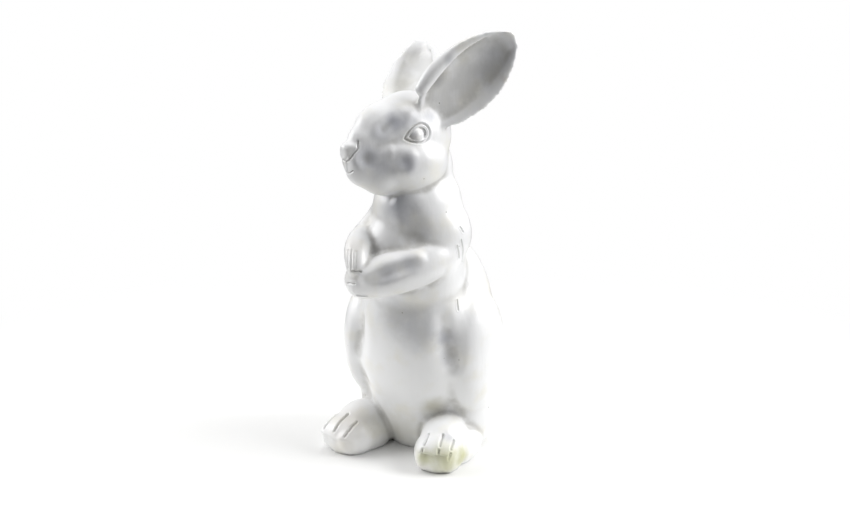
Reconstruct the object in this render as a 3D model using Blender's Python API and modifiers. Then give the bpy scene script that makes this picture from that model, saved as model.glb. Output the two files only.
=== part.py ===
"""A standing rabbit statue, cast in white resin as one solid piece.

The rabbit sits up on its haunches with its paws crossed on its chest. It faces
-Y, +X is its own left side and +Z is up. The head is turned to the rabbit's
right. The origin is on the floor under the trunk, in the flat underside.
"""

import math

import bmesh
import bpy
import numpy as np
from mathutils import Matrix, Vector
from mathutils.bvhtree import BVHTree

# Driving dimension: floor to ear tip, in metres
HEIGHT = 0.608

# The figure's own measure: its height is 608 of them, so each is 1 mm at this size
UNIT = HEIGHT / 608.0

# How far the head turns to the rabbit's right, lifts and leans, and each foot splays, in degrees
HEAD_TURN = 32.0
HEAD_LIFT = 4.0
HEAD_ROLL = 8.0
FOOT_SPLAY = 14.0

# The ears, in UNITs: sizes of the leaf, depth of its hollow, and the step inside its rim
EAR_HALF_LENGTH = 84.0
EAR_HALF_WIDTH = 48.0
EAR_HALF_THICK = 10.0
EAR_CUP = 21.5
EAR_STEP = 4.0
EAR_RIM = 0.74
EAR_POINT = 0.27
EAR_BASE = (42.0, 8.0, 47.0)
EAR_ROLL = (9.0, 11.0, 9.5, 7.5, 5.5, 4.0)

# Each ear's reach from its base in UNITs, the way it points, and how far its mouth turns in degrees
LEFT_EAR_REACH = 57.0
LEFT_EAR_WAY = (55.0, 86.0, 96.0)
LEFT_EAR_OPEN = 70.0
RIGHT_EAR_REACH = 62.0
RIGHT_EAR_WAY = (-81.5, 63.5, 96.0)
RIGHT_EAR_OPEN = -39.5

# The eyes, in UNITs: centre in the head's frame, half sizes of the lid line and its slope
EYE_AT = (42.0, -24.0, 13.0)
EYE_HALF_LENGTH = 18.5
EYE_HALF_HEIGHT = 14.5
EYE_TILT = 16.0

# Sizes of the lid groove, the rim and the socket as shares of the lid line, and the eyeball in UNITs
EYE_RINGS = (1.03, 0.86, 0.70)
BALL_AT = (-1.8, -1.2)
BALL_RADIUS = 13.0
BALL_SEEN = 11.0
SOCKET_DEPTH = 2.6

# The toes, in UNITs: places of the lines across a foot, and height of the ledge under them
TOE_LINES_LEFT = (-17.0, 10.0, 37.0)
TOE_LINES_RIGHT = (-22.0, 4.0, 30.0)
TOE_LEDGE_LEFT = 33.0
TOE_LEDGE_RIGHT = 27.0

# Clay grain of the modelling, and the triangles left in the finished solid
GRAIN = 2.4 * UNIT
TRIANGLES = 9800

# Widths and depths of the carved lines, in metres
TOE_LINE_WIDTH = 0.0040
TOE_LINE_DEPTH = 0.0030

RESIN_WHITE = (0.86, 0.86, 0.84, 1.0)


def deselect_all():
    for other in bpy.context.selected_objects:
        other.select_set(False)


def activate(obj):
    deselect_all()
    obj.select_set(True)
    bpy.context.view_layer.objects.active = obj


def apply_modifier(obj, kind, **settings):
    """Adds one modifier with these settings and applies it."""
    activate(obj)
    modifier = obj.modifiers.new(kind.title(), kind)
    for name, value in settings.items():
        setattr(modifier, name, value)
    bpy.ops.object.modifier_apply(modifier=modifier.name)


def smooth_step(value):
    value = min(max(value, 0.0), 1.0)
    return value * value * (3.0 - 2.0 * value)


def turned(degrees, about=(0.0, 0.0), lift=0.0, base=0.0):
    """The frame of a part of the body that turns to the rabbit's right about an upright line."""
    place = Matrix.Translation(Vector((about[0], about[1], base)) * UNIT)
    turn = Matrix.Rotation(math.radians(-degrees), 4, "Z")
    nod = Matrix.Rotation(math.radians(-lift), 4, "X")
    return place @ turn @ nod


def ball(place, half, frame=Matrix(), tilt=(0.0, 0.0, 0.0)):
    """An egg of clay: its centre and half sizes in UNITs, in the given frame."""
    bpy.ops.mesh.primitive_uv_sphere_add(segments=48, ring_count=32, radius=1.0)
    egg = bpy.context.object
    size = Matrix.Diagonal((*(Vector(half) * UNIT), 1.0))
    turn = Matrix.Identity(4)
    for angle, axis in zip(tilt, "XYZ"):
        turn = Matrix.Rotation(math.radians(angle), 4, axis) @ turn
    egg.data.transform(frame @ Matrix.Translation(Vector(place) * UNIT) @ turn @ size)
    return egg


def roll(points, radii, frame=Matrix()):
    """A tapering roll of clay through the points, with a round end at both."""
    curve = bpy.data.curves.new("roll", "CURVE")
    curve.dimensions = "3D"
    curve.bevel_depth = UNIT
    curve.bevel_resolution = 8
    curve.resolution_u = 10
    curve.use_fill_caps = True
    spline = curve.splines.new("NURBS")
    spline.points.add(len(points) - 1)
    for point, place, radius in zip(spline.points, points, radii):
        point.co = (*(frame @ (Vector(place) * UNIT)), 1.0)
        point.radius = radius
    spline.use_endpoint_u = True
    spline.order_u = 4
    holder = bpy.data.objects.new("roll", curve)
    bpy.context.collection.objects.link(holder)
    bpy.context.view_layer.update()
    mesh = bpy.data.meshes.new_from_object(holder.evaluated_get(bpy.context.evaluated_depsgraph_get()))
    bpy.data.objects.remove(holder)
    shape = bmesh.new()
    shape.from_mesh(mesh)
    bmesh.ops.remove_doubles(shape, verts=shape.verts, dist=0.00005)
    shape.to_mesh(mesh)
    shape.free()
    tube = bpy.data.objects.new("roll", mesh)
    bpy.context.collection.objects.link(tube)
    ends = [ball(points[i], (radii[i],) * 3, frame) for i in (0, -1)]
    return [tube, *ends]


def fused(pieces, passes):
    """The pieces pressed into one body and stroked smooth this many times."""
    activate(pieces[0])
    for piece in pieces:
        piece.select_set(True)
    bpy.ops.object.join()
    body = bpy.context.object
    apply_modifier(body, "REMESH", mode="VOXEL", voxel_size=GRAIN)
    apply_modifier(body, "SMOOTH", factor=0.5, iterations=passes)
    return body


HIPS = turned(0.0, (-15.0, 26.0))
HEAD = turned(HEAD_TURN, (3.0, -28.0), HEAD_LIFT, 453.0) @ Matrix.Rotation(
    math.radians(-HEAD_ROLL), 4, "Y"
)


def trunk():
    """Pelvis, belly, back, chest and neck, with the upper arms pressed into them."""
    return [
        ball((0, 5, 120), (90, 84, 152), HIPS),
        ball((4, -34, 172), (90, 64, 128), HIPS),
        ball((14, 14, 190), (82, 82, 124), HIPS),
        ball((-10, -14, 275), (76, 62, 82)),
        ball((-16, -54, 306), (54, 34, 50)),
        ball((-5, -12, 326), (80, 62, 64)),
        ball((-5, -12, 364), (62, 66, 62)),
        ball((-7, -7, 414), (49, 50, 58)),
        *roll([(34, 0, 334), (44, -16, 314), (38, -40, 298)], [30, 31, 30]),
        *roll([(-56, -8, 332), (-66, -36, 322), (-62, -62, 310)], [27, 26, 26]),
    ]


def legs():
    """Thigh and hock on each side."""
    pieces = []
    for side in (-1, 1):
        pieces.append(ball((side * 84, -2, 149), (38, 62, 92), HIPS))
        pieces.append(ball((side * 67, 16, 58), (41, 56, 66), HIPS))
    return pieces


def foot_frame(side):
    """A foot's own frame: -Y along the foot, from the heel on the floor."""
    place = Matrix.Translation(Vector((side * 61 - 2, -40 + 2 * side, 0)) * UNIT)
    return HIPS @ place @ Matrix.Rotation(math.radians(side * FOOT_SPLAY - 2.0), 4, "Z")


def feet():
    pieces = []
    for side in (-1, 1):
        frame = foot_frame(side)
        wide = 38 - 2 * side
        pieces.append(ball((0, -46, 21), (wide, 40, 33), frame))
        pieces += [ball((across, -54, 21), (wide - 20, 32, 25), frame) for across in (-16, 16)]
        pieces.append(ball((0, -20, 24), (wide - 1, 50, 42), frame))
        pieces.append(ball((0, 26, 22), (34, 62, 34), frame))
    pieces.append(ball((13, 4, 18), (34, 62, 30), foot_frame(1)))
    return pieces


def arms():
    near = roll(
        [(40, -18, 312), (40, -44, 300), (18, -74, 289), (-16, -96, 279), (-41, -100, 272)],
        [28, 30, 31, 30, 27],
    )
    far = roll(
        [(-62, -58, 318), (-58, -88, 316), (-50, -106, 308), (-43, -114, 292)],
        [22, 21, 18, 15],
    )
    return near + far


def head():
    """Skull, cheeks, muzzle and jaw, in the head's frame: -Y forward, +X its left."""
    return [
        ball((0, -14, 12), (43, 64, 60), HEAD),
        ball((0, -44, 14), (34, 52, 46), HEAD),
        ball((0, -20, -22), (50, 62, 48), HEAD),
        ball((0, -64, 5), (27, 42, 29), HEAD),
        ball((-11, -86, -19), (15, 24, 22), HEAD),
        ball((11, -86, -19), (15, 24, 22), HEAD),
        ball((0, -66, -33), (26, 43, 28), HEAD),
        ball((3, -54, -36), (31, 38, 34), HEAD),
    ]


def ear_point(across, deep, along):
    """Where a point of the unit sphere goes on the leaf of an ear, in UNITs."""
    round_to = max(math.sqrt(max(1.0 - along * along, 0.0)), 0.05)
    share = min(abs(across) / round_to, 1.0)
    taper = 1.0 - EAR_POINT * max(along, 0.0) ** 2
    hollow = EAR_CUP * (1.0 - share**2) * (1.0 - along * along)
    if deep < 0.0:
        hollow += EAR_STEP * smooth_step((EAR_RIM - share) / 0.12) * smooth_step((0.9 - abs(along)) / 0.2)
    return Vector(
        (across * EAR_HALF_WIDTH * taper, deep * EAR_HALF_THICK + hollow, along * EAR_HALF_LENGTH)
    )


def ear_frame(side):
    """An ear's own frame: +Z from base to tip, -Y out of its mouth."""
    left = side > 0
    along = Vector(LEFT_EAR_WAY if left else RIGHT_EAR_WAY).normalized()
    ahead = Vector((0.0, -1.0, 0.0))
    ahead = (ahead - along * ahead.dot(along)).normalized()
    out = along.cross(ahead) * side
    open_way = math.radians(LEFT_EAR_OPEN if left else RIGHT_EAR_OPEN)
    mouth = ahead * math.cos(open_way) + out * math.sin(open_way)
    across = (-mouth).cross(along)
    turn = Matrix((across, -mouth, along)).transposed().to_4x4()
    base = Matrix.Translation(Vector((side * EAR_BASE[0], EAR_BASE[1], EAR_BASE[2])) * UNIT)
    reach = LEFT_EAR_REACH if left else RIGHT_EAR_REACH
    return HEAD @ base @ turn @ Matrix.Translation((0, 0, reach * UNIT))


def ear(side):
    """One ear: a hollowed leaf, from a sphere whose points are moved, with a roll at its front edge."""
    bpy.ops.mesh.primitive_uv_sphere_add(segments=96, ring_count=64, radius=1.0)
    leaf = bpy.context.object
    for vertex in leaf.data.vertices:
        vertex.co = ear_point(*vertex.co) * UNIT
    leaf.data.transform(ear_frame(side))
    edge = []
    for along, share in ((-0.65, 0.98), (-0.4, 0.92), (-0.1, 0.87), (0.2, 0.84), (0.5, 0.84), (0.75, 0.84)):
        edge.append(ear_point(-side * share * math.sqrt(1.0 - along * along), 0.0, along))
    return [leaf, *roll(edge, EAR_ROLL, ear_frame(side))]


def nose():
    return [
        ball((0, -102, -5), (15, 14, 11), HEAD),
        ball((0, -104, -14), (11, 11, 10), HEAD),
    ]


def tail():
    """A short round scut, low on the back."""
    return ball((0, 82, 46), (24, 27, 28), HIPS)


def points_of(body):
    count = len(body.data.vertices)
    points, normals = np.empty(count * 3), np.empty(count * 3)
    body.data.vertices.foreach_get("co", points)
    body.data.vertices.foreach_get("normal", normals)
    return points.reshape(-1, 3), normals.reshape(-1, 3)


def move_points(body, points):
    body.data.vertices.foreach_set("co", points.ravel())
    body.data.update()


def ease(share):
    """One at 0, nothing from 1 on, level at both ends."""
    share = np.clip(share, 0.0, 1.0)
    return 1.0 - share * share * (3.0 - 2.0 * share)


def surface_of(body):
    return BVHTree.FromPolygons(
        [v.co for v in body.data.vertices], [f.vertices for f in body.data.polygons]
    )


def seated(tree, path, frame=Matrix(), steps=8):
    """A path of points in UNITs laid on the surface."""
    laid = []
    for start, end in zip(path[:-1], path[1:]):
        for step in range(steps):
            point = Vector(start).lerp(Vector(end), step / steps) * UNIT
            laid.append(tree.find_nearest(frame @ point)[0])
    laid.append(tree.find_nearest(frame @ (Vector(path[-1]) * UNIT))[0])
    return np.array(laid)


def distance_to(points, path):
    """How far each point is from the path."""
    nearest = np.full(len(points), np.inf)
    for start, end in zip(path[:-1], path[1:]):
        along = end - start
        share = np.clip((points - start) @ along / max(along @ along, 1e-12), 0.0, 1.0)
        nearest = np.minimum(nearest, np.linalg.norm(points - start - share[:, None] * along, axis=1))
    return nearest


def stroke(body, path, width, depth):
    """Draws a tool along the path: a positive depth cuts a line, a negative one raises a ridge."""
    points, normals = points_of(body)
    push = depth * ease(distance_to(points, path) / width)
    move_points(body, points - normals * push[:, None])


def pat(body, tree, path, facing, radius, frame=Matrix(), sink=0.0):
    """Pats the surface along a path toward one soft facet that faces this way."""
    points, normals = points_of(body)
    out = np.array((frame.to_3x3() @ Vector(facing)).normalized())
    line = seated(tree, path, frame, 4)
    above = points @ out - (line @ out).mean() + sink * UNIT
    aside = distance_to(points - np.outer(points @ out, out), line - np.outer(line @ out, out))
    hold = ease((aside / (radius * UNIT) - 0.1) / 0.9) * ease((np.abs(above) / UNIT - 8.0) / 6.0)
    hold *= 1.0 - ease((normals @ out - 0.1) / 0.4)
    move_points(body, points - np.outer(above * hold, out))


def press(body, tree, place, radius, depth, frame=Matrix(), stretch=(1.0, 1.0, 1.0)):
    """Presses a soft dent of this radius, or pulls out a soft swelling for a negative depth."""
    points, normals = points_of(body)
    centre = np.array(tree.find_nearest(frame @ (Vector(place) * UNIT))[0])
    turn = np.array(frame.to_3x3())
    offset = ((points - centre) @ turn) / np.array(stretch)
    push = depth * UNIT * ease(np.linalg.norm(offset, axis=1) / (radius * UNIT))
    move_points(body, points - normals * push[:, None])


def refine(body, places, radius):
    """Halves the edges near these places, so that fine lines can be cut there."""
    shape = bmesh.new()
    shape.from_mesh(body.data)
    near = []
    for edge in shape.edges:
        middle = (edge.verts[0].co + edge.verts[1].co) / 2.0
        if any((middle - place).length < radius * UNIT for place in places):
            near.append(edge)
    bmesh.ops.subdivide_edges(shape, edges=near, cuts=1, use_grid_fill=True)
    bmesh.ops.triangulate(shape, faces=[face for face in shape.faces if len(face.verts) > 4])
    shape.to_mesh(body.data)
    shape.free()


def eye_line(side, size):
    """The almond outline of an eye: pointed at the inner corner, round at the outer one."""
    line = []
    for step in range(41):
        angle = math.tau * step / 40
        along = -EYE_HALF_LENGTH * size * math.cos(angle)
        up = EYE_HALF_HEIGHT * size * math.sin(angle) * abs(math.sin(angle / 2.0)) ** 0.7
        tilt = math.radians(EYE_TILT)
        y = along * math.cos(tilt) - up * math.sin(tilt)
        z = along * math.sin(tilt) + up * math.cos(tilt)
        line.append((side * EYE_AT[0], EYE_AT[1] + y, EYE_AT[2] + z))
    return line


def set_eye(body, side):
    """Sinks a socket inside the lids and sets a round ball in it."""
    points, normals = points_of(body)
    centre = HEAD @ (Vector((side * EYE_AT[0], EYE_AT[1], EYE_AT[2])) * UNIT)
    local = (points - np.array(centre)) @ np.array(HEAD.to_3x3()) / UNIT
    tilt = math.radians(EYE_TILT)
    along = local[:, 1] * math.cos(tilt) + local[:, 2] * math.sin(tilt)
    up = local[:, 2] * math.cos(tilt) - local[:, 1] * math.sin(tilt)
    share = np.clip(along / (EYE_HALF_LENGTH * EYE_RINGS[2]), -1.0, 1.0)
    room = EYE_HALF_HEIGHT * EYE_RINGS[2] * np.sqrt(1.0 - share**2) * ((1.0 + share) / 2.0) ** 0.35
    close = (np.abs(local[:, 0]) < 16) & (room > 0.1)
    inside = np.where(close, ease((np.abs(up) / np.maximum(room, 0.1) - 0.75) / 0.35), 0.0)
    apart = np.hypot(along - BALL_AT[0], up - BALL_AT[1])
    dome = np.sqrt(np.maximum(BALL_RADIUS**2 - apart**2, 0.0)) - math.sqrt(BALL_RADIUS**2 - BALL_SEEN**2)
    push = np.where(apart < BALL_SEEN, np.maximum(dome, 0.0), 0.0) - SOCKET_DEPTH
    out = HEAD.to_3x3() @ Vector((side * 0.95, -0.25, 0.15)).normalized()
    move_points(body, points + np.outer(push * inside * UNIT, out))


def carve_face(body):
    """Planes of the face, then eyes, nose, its cleft and the mouth."""
    tree = surface_of(body)
    for side in (-1, 1):
        press(body, tree, (side * EYE_AT[0], EYE_AT[1], EYE_AT[2]), 26, -2.0, HEAD)
        press(body, tree, (side * 36, -34, 41), 14, -1.6, HEAD)
        cheek = [(side * 25, -87, -18), (side * 34, -64, -19), (side * 44, -46, -22)]
        pat(body, tree, cheek, (side * 0.87, -0.5, 0.0), 24, HEAD, 0.5)
        pat(body, tree, [(side * 29, -64, 19), (side * 34, -44, 32)], (side * 0.87, -0.5, 0.3), 17, HEAD, 1.2)
        pat(body, tree, [(side * 38, -6, 36)], (side * 0.87, -0.4, 0.3), 15, HEAD, 1.5)
        press(body, tree, (side * 44, -43, -23), 13, 1.6, HEAD)
        press(body, tree, (side * 36, -60, -9), 10, -1.4, HEAD, (0.7, 0.7, 1.6))
        press(body, tree, (side * 50, -8, -20), 24, -1.5, HEAD)
        pat(body, tree, [(side * 13, -105, -5), (side * 9, -108, -12)], (side * 0.87, -0.5, 0.0), 8, HEAD, -0.4)
    pat(body, tree, [(0, -115, -6), (0, -114, -12)], (0.0, -1.0, -0.15), 9, HEAD, 0.6)
    tree = surface_of(body)
    for side in (-1, 1):
        outer, rim = (seated(tree, eye_line(side, size), HEAD, 1) for size in EYE_RINGS[:2])
        stroke(body, outer, 2.6 * UNIT, 2.4 * UNIT)
        stroke(body, rim, 2.2 * UNIT, -1.0 * UNIT)
        set_eye(body, side)
        pad = [(side * 14, -97, 4), (side * 15, -99, -6), (side * 11, -104, -15), (side * 3, -109, -21)]
        stroke(body, seated(tree, pad, HEAD, 4), 2.4 * UNIT, 2.2 * UNIT)
    cleft = [(0, -114, -19), (0, -112, -26), (0, -108, -37)]
    mouth = [(-10, -104, -34), (-5, -107, -37), (0, -108, -38), (5, -107, -37), (10, -104, -34)]
    stroke(body, seated(tree, cleft, HEAD), 2.4 * UNIT, 2.0 * UNIT)
    stroke(body, seated(tree, mouth, HEAD), 2.4 * UNIT, 2.0 * UNIT)


def carve_body(body):
    """Planes of chest, forearm and belly, and the hollow that parts the belly from each thigh."""
    tree = surface_of(body)
    for side in (-1, 1):
        press(body, tree, (side * 72 - 10, -49, 176), 34, 5.0, stretch=(1.0, 1.0, 1.5))
    pat(body, tree, [(18, -71, 345), (12, -73, 378)], (0.47, -0.88, -0.05), 30, sink=0.3)
    forearm = [(-20, -122, 283), (-2, -116, 290), (16, -103, 298), (34, -88, 306)]
    pat(body, tree, forearm, (0.5, -0.86, 0.1), 17, sink=1.5)
    press(body, tree, (12, -66, 212), 40, 2.5)
    for side in (-1, 1):
        crease = [(53, -47, 214), (56, -44, 194), (60, -42, 170), (65, -38, 146)]
        mirrored = [(side * (across + 13) - 13, ahead, up) for across, ahead, up in crease]
        stroke(body, seated(tree, mirrored), 20 * UNIT, 3.0 * UNIT)
        stroke(body, seated(tree, mirrored[1:3]), 13 * UNIT, 2.0 * UNIT)


def carve_paws(body):
    """Toe lines and the ledge under the toes, and short lines between the fingers."""
    for side in (-1, 1):
        frame = foot_frame(side)
        points, normals = points_of(body)
        turn = np.array(frame.to_3x3())
        local = (points - np.array(frame.translation)) @ turn / UNIT
        facing = np.clip(((normals @ turn)[:, 1] * -1.0 - 0.2) / 0.4, 0.0, 1.0)
        inside = (np.abs(local[:, 0]) < 45) & (local[:, 1] < -40) & (local[:, 2] < 60)
        ledge = TOE_LEDGE_LEFT if side > 0 else TOE_LEDGE_RIGHT
        under = 1.0 - ease((ledge - local[:, 2]) / 3.0)
        back = np.where(inside, 3.0 * UNIT * under * facing, 0.0)
        move_points(body, points + np.outer(back, turn[:, 1]))
    tree = surface_of(body)
    for side in (-1, 1):
        for x in TOE_LINES_LEFT if side > 0 else TOE_LINES_RIGHT:
            if side > 0:
                lines = [[(x, -60, 60), (x, -70, 55), (x, -79, 48)], [(x, -86, 42), (x, -93, 34), (x, -95, 28)]]
            else:
                lines = [[(x, -58, 60), (x, -70, 55), (x, -79, 48), (x, -88, 40)]]
            for line in lines:
                stroke(body, seated(tree, line, foot_frame(side), 4), TOE_LINE_WIDTH, TOE_LINE_DEPTH)
    for line in (
        [(-43, -130, 291), (-31, -126, 291)],
        [(-51, -122, 272), (-40, -130, 273)],
        [(-40, -122, 254), (-27, -118, 254)],
    ):
        stroke(body, seated(tree, line), 2.6 * UNIT, 2.0 * UNIT)
    for x in (-54.0, -46.0, -38.0):
        line = [(x - 4, -118, 318), (x, -126, 306), (x + 2, -130, 294)]
        stroke(body, seated(tree, line), 2.4 * UNIT, 1.0 * UNIT)


def cut_flat(body):
    """Cuts the underside off along the floor and closes it."""
    shape = bmesh.new()
    shape.from_mesh(body.data)
    geometry = shape.verts[:] + shape.edges[:] + shape.faces[:]
    cut = bmesh.ops.bisect_plane(
        shape, geom=geometry, plane_co=(0, 0, 0), plane_no=(0, 0, 1), clear_inner=True
    )
    rim = [item for item in cut["geom_cut"] if isinstance(item, bmesh.types.BMEdge)]
    bmesh.ops.triangle_fill(shape, edges=rim, use_beauty=True)
    bmesh.ops.recalc_face_normals(shape, faces=shape.faces)
    shape.to_mesh(body.data)
    shape.free()


def white_resin():
    """White casting resin with a gloss coat."""
    material = bpy.data.materials.new("white_resin")
    material.use_nodes = True
    shader = material.node_tree.nodes["Principled BSDF"]
    shader.inputs["Base Color"].default_value = RESIN_WHITE
    shader.inputs["Roughness"].default_value = 0.28
    shader.inputs["Coat Weight"].default_value = 0.4
    return material


def main():
    for obj in list(bpy.data.objects):
        bpy.data.objects.remove(obj)
    body = fused(trunk() + legs(), 90)
    skull = fused(head(), 30)
    statue = fused([body, skull, *feet(), *arms(), *nose(), tail(), *ear(-1), *ear(1)], 5)
    carve_body(statue)
    fine = [HEAD @ (Vector((side * 42, -24, 13)) * UNIT) for side in (-1, 1)]
    fine.append(HEAD @ (Vector((0, -105, -25)) * UNIT))
    refine(statue, fine, 27)
    toes = [foot_frame(side) @ (Vector((0, -72, 36)) * UNIT) for side in (-1, 1)]
    refine(statue, toes + [Vector((-42, -120, 282)) * UNIT], 40)
    carve_face(statue)
    carve_paws(statue)
    cut_flat(statue)
    statue.name = "rabbit"
    statue.data.name = "rabbit"
    statue.data.calc_loop_triangles()
    apply_modifier(statue, "DECIMATE", ratio=TRIANGLES / len(statue.data.loop_triangles))
    for polygon in statue.data.polygons:
        polygon.use_smooth = True
    statue.data.materials.clear()
    statue.data.materials.append(white_resin())
    home = bpy.data.collections.new("Rabbit_Statue")
    bpy.context.scene.collection.children.link(home)
    for other in list(statue.users_collection):
        other.objects.unlink(statue)
    home.objects.link(statue)
    return statue


main()
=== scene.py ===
# %% [markdown]
# # A white resin rabbit
# The real object is one hollow casting: a rabbit on its haunches, modelled by hand
# in soft clay, moulded, cast in resin and brushed with white gloss paint. Its forms
# are soft and full, the lines of the eyes, nose and toes are drawn with a tool, and
# the paint has brush marks, small pits and a few stains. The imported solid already
# has the pose and the size. Here the same masses are fused again at a finer grain,
# so that the surface can carry the finer marks.

# %% The frame
import math

import bmesh
import bpy
import numpy as np
from mathutils import Matrix, Vector
from mathutils.bvhtree import BVHTree


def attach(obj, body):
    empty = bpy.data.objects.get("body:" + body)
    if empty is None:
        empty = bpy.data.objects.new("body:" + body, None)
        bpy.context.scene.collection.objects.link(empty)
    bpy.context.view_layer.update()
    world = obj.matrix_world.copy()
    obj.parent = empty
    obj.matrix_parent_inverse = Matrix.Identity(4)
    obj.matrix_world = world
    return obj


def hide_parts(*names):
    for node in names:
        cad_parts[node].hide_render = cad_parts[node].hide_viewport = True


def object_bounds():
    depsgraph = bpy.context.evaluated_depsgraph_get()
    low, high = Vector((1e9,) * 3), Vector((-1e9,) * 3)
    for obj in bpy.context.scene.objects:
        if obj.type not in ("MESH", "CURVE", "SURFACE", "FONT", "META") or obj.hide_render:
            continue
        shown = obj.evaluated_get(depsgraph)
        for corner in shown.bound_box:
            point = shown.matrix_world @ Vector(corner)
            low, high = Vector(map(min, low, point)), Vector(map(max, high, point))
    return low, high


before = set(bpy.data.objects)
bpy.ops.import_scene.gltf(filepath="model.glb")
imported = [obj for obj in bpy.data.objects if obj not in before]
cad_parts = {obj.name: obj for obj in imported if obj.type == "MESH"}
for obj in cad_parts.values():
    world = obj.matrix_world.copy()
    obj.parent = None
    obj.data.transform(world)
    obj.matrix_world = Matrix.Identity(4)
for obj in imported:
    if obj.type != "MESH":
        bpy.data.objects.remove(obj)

cad_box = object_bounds()
height = cad_box[1][2] - cad_box[0][2]
print("solid box", cad_box, "height", round(height, 4))

# %% [markdown]
# ## The figure's own measure
# A sculptor measures a figure in its own units, so that it can be made at any size.
# Here the height is 608 units, and one unit is near a millimetre. Every place and
# size below is in these units, and each part of the body has its own frame: the
# hips, and the head that turns to the rabbit's right.

# %% Units and frames
UNIT = height / 608.0
GRAIN = 2.8 * UNIT
HEAD_TURN = 32.0
HEAD_LIFT = 4.0
HEAD_ROLL = 8.0
FOOT_SPLAY = 14.0


def spot(place):
    return Vector(place) * UNIT


def turned(degrees, about=(0.0, 0.0), lift=0.0, base=0.0):
    """The frame of a part that turns to the rabbit's right about an upright line."""
    place = Matrix.Translation(spot((about[0], about[1], base)))
    turn = Matrix.Rotation(math.radians(-degrees), 4, "Z")
    nod = Matrix.Rotation(math.radians(-lift), 4, "X")
    return place @ turn @ nod


BODY = Matrix.Identity(4)
HIPS = turned(0.0, (-15.0, 26.0))
HEAD = turned(HEAD_TURN, (3.0, -28.0), HEAD_LIFT, 453.0) @ Matrix.Rotation(
    math.radians(-HEAD_ROLL), 4, "Y"
)


def foot_frame(side):
    """A foot's own frame: -Y along the foot, from the heel on the floor."""
    place = Matrix.Translation(spot((side * 61 - 2, -40 + 2 * side, 0)))
    return HIPS @ place @ Matrix.Rotation(math.radians(side * FOOT_SPLAY - 2.0), 4, "Z")


print("unit", round(UNIT * 1000, 4), "mm, grain", round(GRAIN * 1000, 2), "mm")

# %% [markdown]
# ## Eggs and rolls of clay
# Each mass starts as an egg: a sphere that is added at its place, turned and drawn
# out by the primitive's own settings. The arms are rolls, a bevelled curve through
# a few points. Only one object is selected at a time, because an operator acts on
# all that is selected.


# %% Helpers for the clay
def pick(*objects):
    bpy.ops.object.select_all(action="DESELECT")
    for one in objects:
        one.select_set(True)
    bpy.context.view_layer.objects.active = objects[0]


def apply_modifier(piece, kind, **settings):
    pick(piece)
    modifier = piece.modifiers.new(kind.title(), kind)
    for name, value in settings.items():
        setattr(modifier, name, value)
    bpy.ops.object.modifier_apply(modifier=modifier.name)


def egg(place, half, body=BODY):
    """A mass of clay, by its centre and half sizes in a part's frame."""
    bpy.ops.object.select_all(action="DESELECT")
    bpy.ops.mesh.primitive_uv_sphere_add(
        segments=48,
        ring_count=32,
        radius=1.0,
        location=body @ spot(place),
        rotation=body.to_euler(),
        scale=spot(half),
    )
    bpy.ops.object.transform_apply(location=True, rotation=True, scale=True)
    return bpy.context.object


def roll(points, radii, body=BODY):
    """A tapering roll of clay through the points, with a round end at both."""
    bpy.ops.object.select_all(action="DESELECT")
    curve = bpy.data.curves.new("roll", "CURVE")
    curve.dimensions = "3D"
    curve.bevel_depth = UNIT
    curve.bevel_resolution = 8
    curve.resolution_u = 10
    curve.use_fill_caps = True
    line = curve.splines.new("NURBS")
    line.points.add(len(points) - 1)
    for point, place, radius in zip(line.points, points, radii):
        point.co = (*(body @ spot(place)), 1.0)
        point.radius = radius
    line.use_endpoint_u = True
    line.order_u = 4
    tube = bpy.data.objects.new("roll", curve)
    bpy.context.scene.collection.objects.link(tube)
    pick(tube)
    bpy.ops.object.convert(target="MESH")
    tube = bpy.context.object
    bpy.ops.object.mode_set(mode="EDIT")
    bpy.ops.mesh.select_all(action="SELECT")
    bpy.ops.mesh.remove_doubles(threshold=0.00005)
    bpy.ops.object.mode_set(mode="OBJECT")
    return [tube] + [egg(points[i], (radii[i],) * 3, body) for i in (0, -1)]


def fused(pieces, passes):
    """The pieces pressed into one body and stroked smooth this many times."""
    pick(*pieces)
    bpy.ops.object.join()
    body = bpy.context.object
    apply_modifier(body, "REMESH", mode="VOXEL", voxel_size=GRAIN)
    apply_modifier(body, "SMOOTH", factor=0.5, iterations=int(passes * (2.4 * UNIT / GRAIN) ** 2) + 1)
    return body


# %% [markdown]
# ## The body
# The trunk is one full pear of pelvis, belly and back with the chest and neck on
# it, and a haunch and a hock lie against each side. They are fused and stroked
# many times, so that only soft hollows are left between them, as on the casting.

# %% Trunk, haunches and hocks
trunk = [
    egg((0, 5, 120), (90, 84, 152), HIPS),
    egg((4, -34, 172), (90, 64, 128), HIPS),
    egg((14, 14, 190), (82, 82, 124), HIPS),
    egg((-10, -14, 275), (76, 62, 82)),
    egg((-16, -54, 306), (54, 34, 50)),
    egg((-5, -12, 326), (80, 62, 64)),
    egg((-5, -12, 364), (62, 66, 62)),
    egg((-7, -7, 414), (49, 50, 58)),
]
trunk += roll([(34, 0, 334), (44, -16, 314), (38, -40, 298)], [30, 31, 30])
trunk += roll([(-56, -8, 332), (-66, -36, 322), (-62, -62, 310)], [27, 26, 26])
for side in (-1, 1):
    trunk.append(egg((side * 84, -2, 149), (38, 62, 92), HIPS))
    trunk.append(egg((side * 67, 16, 58), (41, 56, 66), HIPS))
body = fused(trunk, 90)
print("body", len(body.data.polygons), "faces")

# %% [markdown]
# ## The head
# The skull, cheeks, muzzle and jaw are fused on their own and stroked less, so
# that the head keeps its crisper planes and the line under the jaw stays sharp.

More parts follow.
